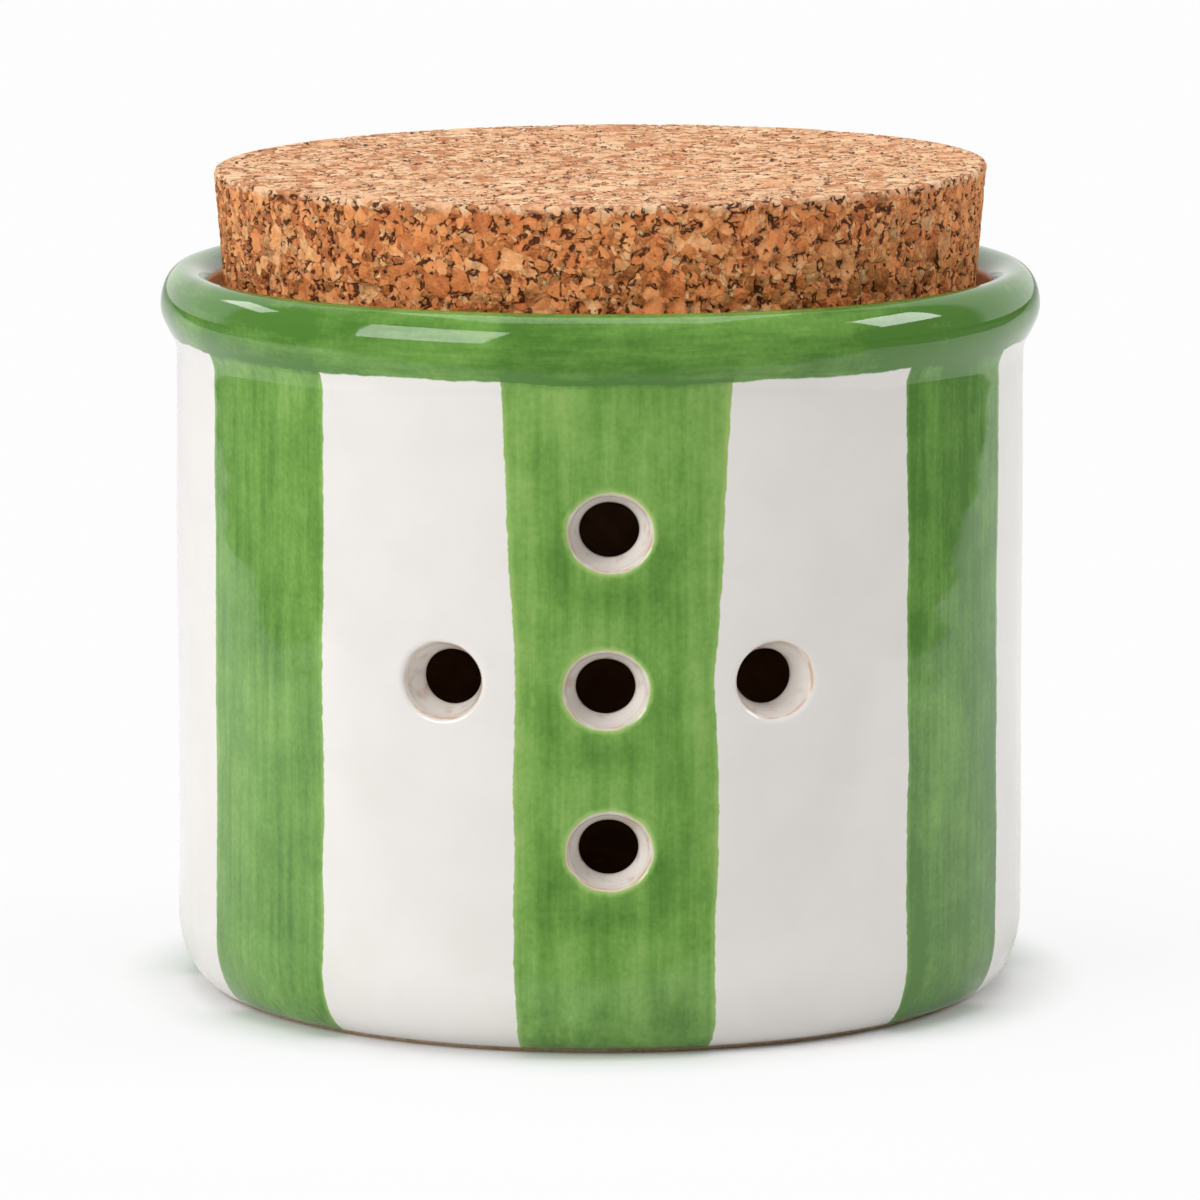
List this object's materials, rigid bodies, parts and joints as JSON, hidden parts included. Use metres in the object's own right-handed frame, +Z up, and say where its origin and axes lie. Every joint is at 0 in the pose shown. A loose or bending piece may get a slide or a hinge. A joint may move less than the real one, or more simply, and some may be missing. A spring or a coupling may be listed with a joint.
{
  "type": "garlic keeper",
  "caption": "Straight-sided glazed ceramic jar with a rolled rim and a cross of vent holes in its front, closed by a tapered cork stopper.",
  "frame": {"origin": "centre of the foot ring's underside, where the jar stands on the table", "axes": "+Z up along the axis of the jar and the stopper; the vent holes face -Y; +X is to the right of someone who looks at the vents"},
  "size_m": [0.13, 0.13, 0.1222],
  "materials": {
    "glaze": "gloss",
    "cork": "matte"
  },
  "bodies": {
    "jar": {"jar": "glaze"},
    "stopper": {"cork_stopper": "cork"}
  },
  "joints": [
    {"name": "stopper_lift", "type": "slide", "parent": "jar", "child": "stopper", "axis": [0, 0, 1], "range_m": [0, 0.06]}
  ]
}
